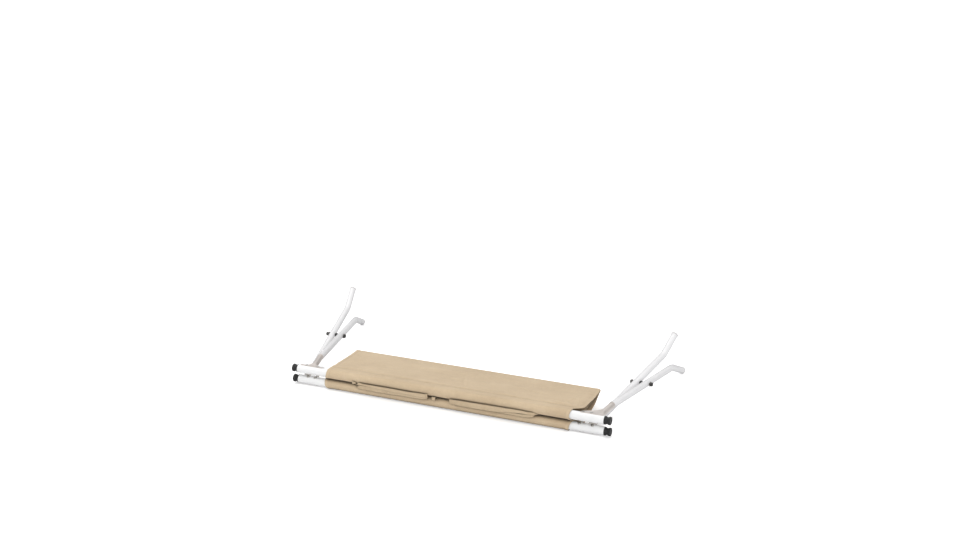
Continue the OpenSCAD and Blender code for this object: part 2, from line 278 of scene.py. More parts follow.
def weave_height(mat, uv, thread_pitch, zigzag):
    """Height of crossing threads along the two cloth UV directions."""
    split = mat.node("ShaderNodeSeparateXYZ")
    mat.link(uv, split.inputs[0])
    u = mat.math("MULTIPLY", split.outputs[0], math.pi / thread_pitch)
    v = mat.math("MULTIPLY", split.outputs[1], math.pi / thread_pitch)
    if zigzag:
        band = mat.math("MULTIPLY", split.outputs[0], math.pi / ZIGZAG_BAND)
        lean = mat.math("MULTIPLY", mat.math("ABSOLUTE", mat.math("SINE", band)), ZIGZAG_SHIFT)
        slanted = mat.math("ADD", u, lean)
        sine_u = mat.math("SINE", mat.math("ADD", slanted, v))
        sine_v = mat.math("SINE", mat.math("SUBTRACT", v, slanted))
    else:
        sine_u, sine_v = mat.math("SINE", u), mat.math("SINE", v)
    warp_over = mat.math("GREATER_THAN", mat.math("MULTIPLY", sine_u, sine_v), 0.0)
    round_u = mat.math("ABSOLUTE", mat.math("SINE", u))
    round_v = mat.math("ABSOLUTE", mat.math("SINE", v))

    def thread(across, along):
        # the power flattens the thread's crown; it dips to 0.65 where it goes under
        return mat.math("MULTIPLY", mat.math("POWER", across, 0.6),
                        mat.scaled(along, gain=0.35, offset=0.65))

    warp, weft = thread(round_u, round_v), thread(round_v, round_u)
    return mat.math("ADD", mat.math("MULTIPLY", warp, warp_over),
                    mat.math("MULTIPLY", weft, mat.math("SUBTRACT", 1.0, warp_over)))


def fabric(name, base, light, dark, thread_pitch, zigzag=False, weave_strength=0.35):
    """Woven cloth on the cloth UV map, in metres, worn and soiled by point attributes, with painted
    shade in the weave's gaps, in crevices and along the webbing's edges.
    """
    mat = Surface(name)
    uv = mat.node("ShaderNodeUVMap", uv_map="cloth").outputs[0]
    weave = weave_height(mat, uv, thread_pitch, zigzag)
    slub = mat.math("ADD", mat.noise(uv, detail=3, rough=0.6, stretch=(42, 900, 1)),
                    mat.noise(uv, detail=3, rough=0.6, stretch=(900, 42, 1)))
    cloud = mat.noise(uv, scale=7.0, detail=4, rough=0.6)
    fine = mat.noise(uv, scale=60.0, detail=3, rough=0.6)

    color = mat.ramp(mat.weighed(cloud, 0.7, fine, 0.3),
                     [(0.36, dark), (0.5, base), (0.66, light)])
    slub_color = mat.ramp(mat.math("MULTIPLY", slub, 0.5), [(0.36, dark), (0.64, light)])
    color = mat.mix(0.20, color, slub_color)
    # painted shade: the weave's low points between the threads are darkened
    thread_gap_shade = mat.ramp(weave, [(0.08, tint(dark, gain=0.55)), (0.45, 1)])
    color = mat.mix(0.42, color, thread_gap_shade, mode="MULTIPLY")
    # point attributes: wear lightens the cloth, the second darkens it: soil along the canvas seams,
    # painted shade along the webbing's edges
    for attribute, share, target in (("wear", 0.5, tint(light, gain=1.12)),
                                     ("soil_and_shade", 0.55, tint(dark, gain=0.62))):
        amount = mat.node("ShaderNodeAttribute", attribute_name=attribute).outputs["Fac"]
        color = mat.mix(mat.math("MULTIPLY", amount, share, clamp=True), color, target)
    # painted shade: the colour darkens towards a deep brown where ambient occlusion finds crevices
    # between plies
    crevice = mat.node("ShaderNodeAmbientOcclusion", samples=6)
    mat.set(crevice, Distance=0.016)
    crevice_shade = mat.ramp(crevice.outputs["AO"], [(0.20, 0.88), (0.55, 0.34), (0.88, 0.0)])
    color = mat.mix(crevice_shade, color, tint(dark, gain=0.20))

    normal = mat.bump(weave, strength=weave_strength, distance=0.0004)
    normal = mat.bump(slub, strength=0.25, distance=0.0003, under=normal)
    rumple = mat.noise(uv, scale=26.0, detail=4, rough=0.55)
    normal = mat.bump(rumple, strength=0.35, distance=0.0012, under=normal)
    return mat.finish(color, mat.scaled(fine, gain=0.14, offset=0.78), normal,
                      Sheen_Weight=0.28, Sheen_Roughness=0.45, Sheen_Tint=(1.0, 0.95, 0.86, 1),
                      Specular_IOR_Level=0.22)


def enamel(name, base, shade, rough, rim):
    """Satin enamel: faint orange peel, dulled scuffs, and a painted reflection: grey by the share
    rim at the grazing edges.
    """
    mat = Surface(name)
    coords = mat.coords()
    peel = mat.noise(coords, scale=420.0, detail=2, rough=0.5)
    cloud = mat.noise(coords, scale=9.0, detail=4, rough=0.6)
    scuff = mat.noise(coords, detail=5, rough=0.7, stretch=(38, 320, 320))
    color = mat.ramp(cloud, [(0.35, shade), (0.62, base)])
    color = mat.mix(mat.ramp(scuff, [(0.66, 0.0), (0.78, 0.35)]), color, tint(shade, gain=0.80))
    # painted reflection: the colour greys towards grazing edges, standing in for darker studio
    # surroundings mirrored there
    facing = mat.node("ShaderNodeLayerWeight")
    mat.set(facing, Blend=0.5)
    rim_reflection_weight = mat.math("POWER", facing.outputs["Facing"], 3.0)
    color = mat.mix(mat.math("MULTIPLY", rim_reflection_weight, rim), color, (0.34, 0.335, 0.335))
    roughness = mat.math("ADD", mat.math("MULTIPLY", scuff, 0.18),
                         mat.scaled(cloud, gain=0.12, offset=rough - 0.15))
    normal = mat.bump(peel, strength=0.10, distance=0.0002)
    normal = mat.bump(scuff, strength=0.05, distance=0.0002, under=normal)
    return mat.finish(color, roughness, normal, Metallic=0.0, Specular_IOR_Level=0.5,
                      Coat_Weight=0.18, Coat_Roughness=0.22)


def steel(name, base, dark, rough, grain=(300, 300, 300), metallic=1.0, pit_strength=0.10):
    """Steel with a grain, cloudy stains and fine pitting."""
    mat = Surface(name)
    coords = mat.coords()
    lines = mat.noise(coords, detail=4, rough=0.65, stretch=grain)
    cloud = mat.noise(coords, scale=22.0, detail=4, rough=0.6)
    pits = mat.noise(coords, scale=260.0, detail=2, rough=0.6)
    color = mat.ramp(mat.weighed(cloud, 0.6, lines, 0.4), [(0.34, dark), (0.60, base)])
    roughness = mat.math("ADD", mat.math("MULTIPLY", lines, 0.22),
                         mat.scaled(cloud, gain=0.16, offset=rough - 0.18))
    normal = mat.bump(lines, strength=0.12, distance=0.0002)
    normal = mat.bump(pits, strength=pit_strength, distance=0.0003, under=normal)
    return mat.finish(color, roughness, normal, Metallic=metallic, Specular_IOR_Level=0.5)


def plastic(name, base, light, rough):
    """Moulded plastic: leathery mould texture, lighter where rubbed."""
    mat = Surface(name)
    coords = mat.coords()
    leather = mat.node("ShaderNodeTexVoronoi")
    mat.set(leather, Scale=650.0)
    mat.link(coords, leather.inputs["Vector"])
    cloud = mat.noise(coords, scale=40.0, detail=4, rough=0.6)
    rub = mat.noise(coords, scale=150.0, detail=4, rough=0.7)
    color = mat.ramp(cloud, [(0.36, base), (0.70, light)])
    color = mat.mix(mat.ramp(rub, [(0.62, 0.0), (0.80, 0.35)]), color,
                    tint(light, gain=1.7, lift=0.02))
    normal = mat.bump(leather.outputs["Distance"], strength=0.22, distance=0.0003)
    normal = mat.bump(rub, strength=0.12, distance=0.0002, under=normal)
    return mat.finish(color, mat.scaled(rub, gain=0.22, offset=rough - 0.10), normal,
                      Specular_IOR_Level=0.45)


# rim: share of painted grey reflection at the grazing edges
RAIL = enamel("rail_enamel", base=(0.92, 0.92, 0.915), shade=(0.88, 0.88, 0.875),
              rough=0.34, rim=0.30)
LEG = enamel("leg_enamel", base=(0.90, 0.895, 0.90), shade=(0.86, 0.855, 0.86),
             rough=0.30, rim=0.50)
BRACKET = steel("bracket_plated", base=(0.78, 0.72, 0.675), dark=(0.66, 0.605, 0.565),
                rough=0.34, grain=(30, 200, 200), metallic=0.8, pit_strength=0.03)
ZINC = steel("bolt_zinc", base=(0.66, 0.64, 0.60), dark=(0.42, 0.40, 0.37), rough=0.28)
BLACK_STEEL = steel("pivot_black_oxide", base=(0.075, 0.070, 0.066),
                    dark=(0.030, 0.028, 0.027), rough=0.42, metallic=0.6)
WASHER = steel("washer_plated", base=(0.34, 0.33, 0.32), dark=(0.16, 0.155, 0.15), rough=0.35)
CAP = plastic("cap_black", base=(0.007, 0.007, 0.0075), light=(0.014, 0.014, 0.015), rough=0.44)
SPACER = plastic("spacer_black", base=(0.020, 0.020, 0.021), light=(0.035, 0.035, 0.037),
                 rough=0.45)
FOOT = plastic("foot_grey", base=(0.60, 0.59, 0.585), light=(0.68, 0.67, 0.665), rough=0.48)
CANVAS = fabric("canvas_duck", base=(0.625, 0.487, 0.325), light=(0.680, 0.540, 0.370),
                dark=(0.570, 0.437, 0.287), thread_pitch=0.00085)
# painted shade: a darker copy of the canvas for the back skin, which faces the rail and the hollows
# between the plies
CANVAS_BACK_SHADED = fabric("canvas_duck_back_shaded", base=(0.500, 0.375, 0.240), light=(0.560, 0.425, 0.280),
                     dark=(0.440, 0.325, 0.200), thread_pitch=0.00085)
THREAD = fabric("thread_tan", base=(0.640, 0.510, 0.350), light=(0.720, 0.590, 0.420),
                dark=(0.520, 0.400, 0.260), thread_pitch=0.0004, weave_strength=0.2)
WEBBING = fabric("webbing_tan", base=(0.640, 0.500, 0.335), light=(0.710, 0.570, 0.395),
                 dark=(0.520, 0.395, 0.250), thread_pitch=0.0013, zigzag=True,
                 weave_strength=0.6)

SLOT_MATERIALS = {
    "rail": RAIL, "leg": LEG, "bracket": BRACKET, "zinc": ZINC, "black_steel": BLACK_STEEL,
    "spacer": SPACER, "end_cap": CAP, "foot_plug": FOOT, "canvas": CANVAS, "webbing": WEBBING,
}


def dress_frame():
    """Gives every CAD piece one material: its slot's, but the washer plating for the pivot washers
    and the leg enamel for the leg rivets.
    """
    slots = {part["node"]: part["material_slot"] for part in frame["record"]["subparts"]}
    for name, obj in frame["nodes"].items():
        material = SLOT_MATERIALS[slots[name]]
        if name == "pivot_washers":
            material = WASHER
        if name.endswith("leg_rivets"):
            material = LEG
        obj.data.materials.clear()
        obj.data.materials.append(material)
        obj.data.polygons.foreach_set("material_index", [0] * len(obj.data.polygons))


dress_frame()

# ---------------------------------------------------------------------------
# canvas section: one ply from the back fold over the rail and back under it.
# It is drawn about the upper rail's centre, the lower half being its mirror.
# ---------------------------------------------------------------------------

FOLD_Y, FOLD_DROP = 219.0, 17.4  # the back fold, behind the rail and towards the gap
WRAP_RADIUS = 15.05  # middle of the ply round the rail
PLY = 1.2
EDGE_BACK = 1.0  # the ply stops this far short of the fold line
FOLD_GAP = 0.72  # each ply's distance from the bisector at the fold
FOLD_REACH = math.hypot(FOLD_Y, FOLD_DROP)
FOLD_BAND = FOLD_REACH - 12  # start of the band sewn flat at the fold
FOLD_ANGLE = -math.atan2(FOLD_DROP, FOLD_Y)
WRAP_ANGLE = math.acos(WRAP_RADIUS / FOLD_REACH)  # where the flat plies leave the rail
TAPER = math.pi / 2 - WRAP_ANGLE


def section_path():
    """Middle of the ply along and off the bisector; part 0 outer ply, 1 wrap, 2 inner ply."""
    flat = np.concatenate([
        np.linspace(FOLD_REACH - EDGE_BACK, FOLD_BAND, 13)[:-1],
        np.linspace(FOLD_BAND, 46, 56)[:-1],
        np.linspace(46, WRAP_RADIUS * math.cos(WRAP_ANGLE), 23),
    ])
    tangent = (FOLD_REACH - flat) * math.tan(TAPER)
    height = np.sqrt(tangent ** 2 + FOLD_GAP ** 2)
    # ease onto the tangent line near the rail
    blend = smooth((70 - flat) / 60)
    height = height * (1 - blend) + tangent * blend
    height[-1] = WRAP_RADIUS * math.sin(WRAP_ANGLE)
    angle = np.linspace(WRAP_ANGLE, 2 * math.pi - WRAP_ANGLE, 38)[1:-1]
    along = np.concatenate([flat, WRAP_RADIUS * np.cos(angle), flat[::-1]])
    off = np.concatenate([height, WRAP_RADIUS * np.sin(angle), -height[::-1]])
    return along, off, np.repeat([0, 1, 2], [len(flat), len(angle), len(flat)])


ALONG, OFF, PART = section_path()
OUTER, WRAP, INNER = [(PART == part).astype(float) for part in range(3)]
# distance travelled along the cloth
RUN = np.concatenate([[0], np.cumsum(np.hypot(np.diff(ALONG), np.diff(OFF)))])
PATH_Y = ALONG * math.cos(FOLD_ANGLE) - OFF * math.sin(FOLD_ANGLE)
PATH_Z = ALONG * math.sin(FOLD_ANGLE) + OFF * math.cos(FOLD_ANGLE)


def section_normals():
    """Unit y and z of the normals, facing away from the rail."""
    step_y, step_z = np.gradient(PATH_Y), np.gradient(PATH_Z)
    length = np.hypot(step_y, step_z)
    normal_y, normal_z = step_z / length, -step_y / length
    front = len(PATH_Y) // 2
    outward = np.sign(normal_y[front] * PATH_Y[front] + normal_z[front] * PATH_Z[front])
    return normal_y * outward, normal_z * outward


NORMAL_Y, NORMAL_Z = section_normals()

# ---------------------------------------------------------------------------
# canvas ends and wrinkles
# ---------------------------------------------------------------------------

LEFT, RIGHT = -416.0, 423.0  # nominal ends, between which the columns are spaced
END_BAND = 14
HEM_WIDTH = 12.5
EDGE_ROUND = 0.9
SEAM_Y = 24.5  # sewn line behind the rail
SEAM_DIP = bell(PATH_Y - SEAM_Y, 2.8)
CREASE_GAIN = 1.35

# angle round the rail: 80 away from the gap, 180 at the front, 270 facing the gap
MOUTH_ANGLES = [80, 130, 180, 225, 270]
# y, x of the cloth ends behind the rail
LEFT_END_OUTER = [(20, -413.5), (60, -415.0), (219, -423.5)]
LEFT_END_INNER = [(30, -409), (219, -413)]
RIGHT_END_OUTER = [(12.5, 427), (15, 430), (31, 450), (36, 452), (150, 451.5), (220, 446.5)]
RIGHT_END_INNER = [(20, 438), (60, 444), (219, 445.5)]


def end_line(mouth, outer, inner):
    """x of one cloth end at every section point."""
    outer = np.array([(2, mouth[0])] + outer)
    inner = np.array([(0, mouth[-1])] + inner)
    angle = np.degrees(np.arctan2(PATH_Z, PATH_Y)) % 360
    return np.select([PART == 0, PART == 1],
                     [np.interp(PATH_Y, *outer.T), np.interp(angle, MOUTH_ANGLES, mouth)],
                     np.interp(PATH_Y, *inner.T))


def end_lines(side, seed, corner_radius, mouth_left, mouth_right):
    """Left and right end lines with rounded corners at the fold and a slight waver."""
    corner = np.clip((PATH_Y - (FOLD_Y - corner_radius)) / corner_radius, 0, 1)
    cut = corner_radius * (1 - np.sqrt(np.clip(1 - corner ** 2, 0, 1)))
    waver = value_noise(PATH_Y, side * 3 + PART * 5, 30, 1, seed + 40)
    left = end_line(mouth_left, LEFT_END_OUTER, LEFT_END_INNER)
    right = end_line(mouth_right, RIGHT_END_OUTER, RIGHT_END_INNER)
    return left + cut + waver * 0.9, right - cut + waver * 0.8 * smooth((PATH_Y - 20) / 30)


def column_grid(left, right):
    """x of every vertex: columns finer in the hems, stretched to the real end lines."""
    columns = np.concatenate([
        np.linspace(LEFT, LEFT + END_BAND, 12)[:-1],
        np.linspace(LEFT + END_BAND, RIGHT - 30, 206)[:-1],
        np.linspace(RIGHT - 30, RIGHT - END_BAND, 9)[:-1],
        np.linspace(RIGHT - END_BAND, RIGHT, 12),
    ])[:, None]
    near_right = smooth((columns - (RIGHT - 130)) / 100)
    near_left = smooth(((LEFT + 90) - columns) / 70)
    return columns + near_right * (right - RIGHT) + near_left * (left - LEFT)


def crease(x, y, x0, y0, x1, y1, height, width, valley_share):
    """A ridge along a segment with a shallow valley beside it."""
    dx, dy = x1 - x0, y1 - y0
    length = math.hypot(dx, dy)
    t = ((x - x0) * dx + (y - y0) * dy) / length ** 2
    offset = ((y - y0) * dx - (x - x0) * dy) / length
    fade = smooth((t + 0.15) / 0.45) * smooth((1.15 - t) / 0.45)
    width = width * (0.6 + 0.6 * np.clip(1 - np.abs(2 * t - 1), 0, 1))
    valley = bell(offset + width * 1.7, width * 1.1)
    return height * fade * (bell(offset, width) - valley_share * valley)


def wrinkles(x, from_left, from_right, side, seed, creases):
    """Height of the cloth off its plain section, along the section normal."""
    def rumple(across, size_x, size, step):
        return value_noise(x, across, size_x, size, seed + step)

    def drift(size_x, step):
        return rumple(0, size_x, 1, step)

    behind = smooth((PATH_Y - 4) / 60)
    height = OUTER * behind * (0.75 * rumple(PATH_Y, 190, 34, 0)
                               + 0.42 * rumple(PATH_Y, 70, 13, 1)
                               + 0.16 * rumple(PATH_Y, 26, 9, 2))
    height += WRAP * (0.22 * rumple(RUN, 120, 9, 3) + 0.10 * rumple(RUN, 30, 8, 4) + 0.1)
    height += INNER * behind * (0.35 * rumple(PATH_Y, 120, 30, 5))
    # the sewn line behind the rail, with the slack it gathers on either side
    height -= (OUTER * 0.7 + INNER * 0.3) * SEAM_DIP * (0.6 + 0.4 * drift(46, 6))
    back_ridge = bell(PATH_Y - 37 - 8 * drift(160, 7), 6.5)
    height += OUTER * back_ridge * (1.05 + 0.75 * drift(95, 8))
    front_ridge = bell(PATH_Y - 12 - 5 * drift(130, 9), 4.5)
    height += OUTER * front_ridge * 0.42 * (1 + drift(80, 10))
    for numbers in creases:
        height += OUTER * CREASE_GAIN * crease(x, PATH_Y, *numbers)
    # soft crown between the seam and the fold
    crown = np.sin(np.clip((PATH_Y - 20) / (FOLD_Y - 20), 0, 1) * math.pi)
    height += OUTER * 0.9 * crown * (1 + 0.5 * drift(210, 11))
    # loose ends droop into the hollow between the plies; at the right only the upper half's
    droop = np.minimum(4.6, 0.52 * 2 * np.abs(OFF)) * smooth((PATH_Y - 26) / 34) * OUTER
    if side > 0:
        height -= droop * smooth((30 - from_right) / 30) ** 1.3
    height -= 0.5 * droop * smooth((22 - from_left) / 22)
    # the sleeve mouths stand a little off the rail
    height += WRAP * (1.35 * bell(from_right, 11) + 0.7 * bell(from_left, 9))
    # flat where it is sewn at the fold
    return height * (1 - smooth((ALONG - FOLD_BAND) / 9))


def surface_normals(points):
    """Unit normals of the wrinkled sheet, on the same side as the section's."""
    normals = np.cross(np.gradient(points, axis=0), np.gradient(points, axis=1))
    normals /= np.linalg.norm(normals, axis=-1, keepdims=True)
    agree = normals[..., 1] * NORMAL_Y + normals[..., 2] * NORMAL_Z
    return normals * np.sign(np.where(agree == 0, 1, agree))[..., None]


# ---------------------------------------------------------------------------
# stitching
# ---------------------------------------------------------------------------

STITCH_PITCH, STITCH_LENGTH, STITCH_RADIUS = 4.2, 2.9, 0.34
STITCH_SIDES = 6
# place along half the stitch, share of the radius
STITCH_RINGS = [(-1.0, 0.25), (-0.62, 0.85), (0.0, 1.0), (0.62, 0.85), (1.0, 0.25)]


def stitch_places(face, normals, x, left, right):
    """Start, end and normal of every stitch on the outward face of a sheet."""
    column_count, row_count = x.shape
    places = []

    def row_at(run):
        return np.interp(run, RUN, np.arange(row_count))

    def sample(field, x_value, row):
        column = np.interp(x_value, x[:, int(round(row))], np.arange(column_count))
        i = min(max(int(column), 0), column_count - 2)
        j = min(max(int(row), 0), row_count - 2)
        u, v = column - i, row - j
        return ((field[i, j] * (1 - u) + field[i + 1, j] * u) * (1 - v)
                + (field[i, j + 1] * (1 - u) + field[i + 1, j + 1] * u) * v)

    def sew_along_rail(run, margin):
        row = row_at(run)
        station = int(round(row))
        start = left[station] + margin
        while start < right[station] - margin:
            places.append((sample(face, start, row), sample(face, start + STITCH_LENGTH, row),
                           sample(normals, start, row)))
            start += STITCH_PITCH

    def sew_round_end(end, inset):
        run = 10
        while run < RUN[-1] - 10:
            rows = row_at(run), row_at(run + STITCH_LENGTH)
            xs = [end[int(round(row))] + inset for row in rows]
            first, last = [sample(face, *place) for place in zip(xs, rows)]
            if np.linalg.norm(last - first) < 6:
                places.append((first, last, sample(normals, xs[0], rows[0])))
            run += STITCH_PITCH

    seam_run = RUN[int(np.argmin(np.where(PART == 0, np.abs(PATH_Y - SEAM_Y), 1e9)))]
    sew_along_rail(seam_run, margin=5)
    sew_along_rail(seam_run - 5, margin=5)
    sew_along_rail(RUN[-1] - seam_run, margin=5)
    sew_along_rail(6.5, margin=12)
    sew_round_end(left, inset=10)
    sew_round_end(right, inset=-10)
    return places


def stitches(name, places, side):
    """One small tapered thread per stitch, its ends sunk into the cloth."""
    verts, faces, uv = [], [], []
    for start, end, normal in places:
        middle, axis = (start + end) / 2, end - start
        length = np.linalg.norm(axis)
        if length < 0.3:
            continue
        axis = axis / length
        normal = normal - axis * (normal @ axis)
        normal /= np.linalg.norm(normal)
        across = np.cross(axis, normal)
        base = len(verts)
        for t, share in STITCH_RINGS:
            center = middle + axis * t * length / 2 + normal * (0.10 - 0.34 * t ** 2)
            for i in range(STITCH_SIDES):
                angle = 2 * math.pi * i / STITCH_SIDES
                spoke = normal * math.cos(angle) + across * math.sin(angle)
                verts.append(center + spoke * STITCH_RADIUS * share)
                uv.append((t * 0.0015, angle * 0.0002))
        last = base + (len(STITCH_RINGS) - 1) * STITCH_SIDES
        for ring in range(base, last, STITCH_SIDES):
            for i in range(STITCH_SIDES):
                j = (i + 1) % STITCH_SIDES
                faces.append((ring + i, ring + j, ring + STITCH_SIDES + j,
                              ring + STITCH_SIDES + i))
        faces.append(tuple(range(base, base + STITCH_SIDES))[::-1])
        faces.append(tuple(range(last, last + STITCH_SIDES)))
    obj = add_mesh(name, to_half(np.array(verts), side), faces, uv, (THREAD,))
    fix_normals(obj)
    return obj


# ---------------------------------------------------------------------------
# the two canvas halves
# ---------------------------------------------------------------------------


def sheet_faces(shape):
    """Faces of both skins and the rim that joins them, and each face's material index."""
    count = shape[0] * shape[1]
    index = np.arange(count).reshape(shape)
    skin = np.stack([index[:-1, :-1], index[1:, :-1], index[1:, 1:], index[:-1, 1:]], -1)
    skin = skin.reshape(-1, 4)
    ring = np.concatenate([index[:, 0], index[-1, 1:], index[-2::-1, -1], index[0, -2::-1]])
    rim = np.stack([ring[:-1], ring[1:], ring[1:] + count, ring[:-1] + count], -1)
    materials = np.repeat([0, 1, 0], [len(skin), len(skin), len(rim)])
    return np.concatenate([skin, skin[:, ::-1] + count, rim]), materials


def canvas_half(which, side, seed, corner_radius, mouth_left, mouth_right, creases):
    left, right = end_lines(side, seed, corner_radius, mouth_left, mouth_right)
    x = column_grid(left, right)
    from_left, from_right = x - left, right - x
    from_end = np.minimum(from_left, from_right)
    height = wrinkles(x, from_left, from_right, side, seed, creases)
    points = np.stack([x, PATH_Y + height * NORMAL_Y, PATH_Z + height * NORMAL_Z], -1)
    normals = surface_normals(points)

    # hems: a second layer folded inside at the ends, with a soft step and rounded edge
    hem = smooth((HEM_WIDTH - from_end) / 1.6)
    edge = smooth((EDGE_ROUND - from_end) / EDGE_ROUND)
    pucker = 0.18 * hem * value_noise(PATH_Y + x * 0.3, RUN, 7, 7, seed + 12)
    outward = (PLY / 2 + 0.45 * hem) * (1 - 0.45 * edge) + pucker + 0.05
    outward = np.where(PART == 2, np.minimum(outward, PLY / 2 + 0.2), outward)
    inward = (PLY / 2 + 0.3 * hem * OUTER) * (1 - 0.35 * edge)
    face = points + normals * outward[..., None]
    back = points - normals * inward[..., None]

    uv = np.stack([x, np.broadcast_to(RUN, x.shape)], -1).reshape(-1, 2) * MM
    wear = np.clip(height * OUTER * 0.45, 0, 1) * 0.6 + 0.35 * np.clip(hem - 0.5, 0, 1)
    # soil only, along the seam, the hem step and the sewn fold line
    soil_and_shade = (OUTER * SEAM_DIP * 0.35 + 0.30 * bell(from_end - HEM_WIDTH, 0.9)
            + 0.4 * bell(ALONG - (FOLD_REACH - 8), 1.2))
    faces, face_material = sheet_faces(x.shape)
    verts = np.concatenate([face.reshape(-1, 3), back.reshape(-1, 3)])
    name, body = f"canvas_{which}", f"{which}_canvas"
    obj = add_mesh(name, to_half(verts, side), faces, np.concatenate([uv, uv + 0.00035]),
                   (CANVAS, CANVAS_BACK_SHADED), face_material,
                   {"wear": np.tile(wear.ravel(), 2), "soil_and_shade": np.tile(soil_and_shade.ravel(), 2)})
    fix_normals(obj)
    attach(obj, body)
    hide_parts(body, f"{body}_fold")

    places = stitch_places(face, normals, x, left, right)
    thread = stitches(f"{name}_stitching", places, side)
    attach(thread, body)


# x0, y0, x1, y1, height, width, valley share
UPPER_CREASES = [
    (-285, 10, -185, 19, 0.95, 2.2, 0.8), (-360, 12, -268, 22, 0.70, 2.6, 0.4),
    (-180, 44, -128, 30, 0.80, 2.6, 0.4), (-105, 26, -30, 29, 0.85, 2.4, 0.7),
    (12, 158, 60, 34, 0.85, 4.0, 0.7), (20, 24, 66, 35, 1.25, 3.2, 0.5),
    (90, 39, 162, 54, 0.80, 3.2, 0.5), (162, 42, 250, 30, 1.25, 3.0, 0.8),
    (318, 32, 384, 35, 1.20, 2.8, 0.7), (334, 52, 398, 41, 1.20, 2.8, 0.8),
    (384, 54, 400, 104, 0.75, 3.4, 0.6), (425, 24, 372, 74, 1.10, 3.4, 0.7),
    (428, 40, 408, 120, 0.80, 3.6, 0.6), (300, 14, 360, 22, 0.70, 2.6, 0.6),
    (-330, 70, -180, 96, 0.55, 4.5, 0.4), (-90, 120, 40, 92, 0.50, 4.5, 0.4),
    (180, 120, 330, 92, 0.60, 5.0, 0.4), (-400, 60, -360, 130, 0.45, 4.0, 0.4),
]
LOWER_CREASES = [
    (-300, 40, -180, 33, 0.4, 3.0, 0.5), (60, 38, 190, 46, 0.4, 3.0, 0.5),
    (220, 90, 330, 60, 0.4, 4.0, 0.5),
]

# mouths: x of the cloth ends at MOUTH_ANGLES
canvas_half("upper", side=1, seed=100, corner_radius=5,
            mouth_left=[-411, -410, -412.5, -417.5, -422],
            mouth_right=[427, 424.5, 422.5, 427, 436], creases=UPPER_CREASES)
canvas_half("lower", side=-1, seed=300, corner_radius=4,
            mouth_left=[-412.5, -414, -419, -422, -424.5],
            mouth_right=[419.5, 420, 421.5, 425, 430], creases=LOWER_CREASES)

# ---------------------------------------------------------------------------
# webbing carry handles: flattened straps looped out of the gap
# ---------------------------------------------------------------------------


def strap_profile(steps=11):
    """(place across -1..1, height -1..1) round the strap, thinner at both edges."""
    across = [-1 + 2 * i / steps for i in range(steps + 1)]
    top = [(a, 1.0 if abs(a) < 0.93 else 0.62) for a in across]
    return top + [(a, -h) for a, h in top[::-1]]


def spline(keys, count):
    """Catmull-Rom through rows of keys."""
    keys = np.asarray(keys, float)
    padded = np.vstack([2 * keys[0] - keys[1], keys, 2 * keys[-1] - keys[-2]])
    spans = len(keys) - 1
    rows = []
    for u in np.linspace(0, spans, count):
        i = min(int(u), spans - 1)
        f = u - i
        k0, k1, k2, k3 = padded[i:i + 4]
        rows.append(0.5 * (2 * k1 + (k2 - k0) * f + (2 * k0 - 5 * k1 + 4 * k2 - k3) * f ** 2
                           + (3 * k1 - k0 - 3 * k2 + k3) * f ** 3))
    return np.array(rows)


def strap(name, body, keys, count, seed, thick=2.7, replaced=None):
    """keys: x, y, z of the middle line, the width direction (three), then the width."""
    stations = spline(keys, count)
    path, wide, width = stations[:, :3], stations[:, 3:6], stations[:, 6]
    tangent = np.gradient(path, axis=0)
    tangent /= np.linalg.norm(tangent, axis=1, keepdims=True)
    wide = wide - tangent * np.sum(wide * tangent, 1, keepdims=True)
    wide /= np.linalg.norm(wide, axis=1, keepdims=True)
    normal = np.cross(tangent, wide)
    run = np.concatenate([[0], np.cumsum(np.linalg.norm(np.diff(path, axis=0), axis=1))])
    wobble = value_noise(run, 0, 18, 1, 900 + seed) * 0.35

    profile = strap_profile()
    size = len(profile)
    verts, uv = [], []
    for i in range(count):
        ripple = 1 + 0.02 * math.sin(run[i] * 2.2 + seed)
        for a, h in profile:
            lift = h * thick / 2 + wobble[i] * (0.4 + 0.6 * a) + 0.25 * (a * a)
            verts.append(path[i] + wide[i] * a * width[i] / 2 * ripple + normal[i] * lift)
            uv.append((a * width[i] / 2 * MM, run[i] * MM + (0.5 if h < 0 else 0)))
    faces = []
    for ring in range(0, (count - 1) * size, size):
        for i in range(size):
            j = (i + 1) % size
            faces.append((ring + i, ring + j, ring + size + j, ring + size + i))
    for base, step in ((0, -1), ((count - 1) * size, 1)):
        for j in range(size // 2 - 1):
            cap = (base + j, base + j + 1, base + size - 2 - j, base + size - 1 - j)
            faces.append(cap[::step])
    wear = [0.25 * abs(a) ** 4 for a, h in profile]
    # painted shade: the webbing's outer edges, and a faint band inside each, are darkened as the
    # shadow lines beside the plies
    soil_and_shade = [1.7 * (abs(a) > 0.93) + 0.2 * (0.7 < abs(a) < 0.85) for a, h in profile]
    obj = add_mesh(name, world(np.array(verts)), faces, uv, (WEBBING,),
                   attributes={"wear": np.tile(wear, count), "soil_and_shade": np.tile(soil_and_shade, count)})
    fix_normals(obj)
    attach(obj, body)
    if replaced:
        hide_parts(replaced)


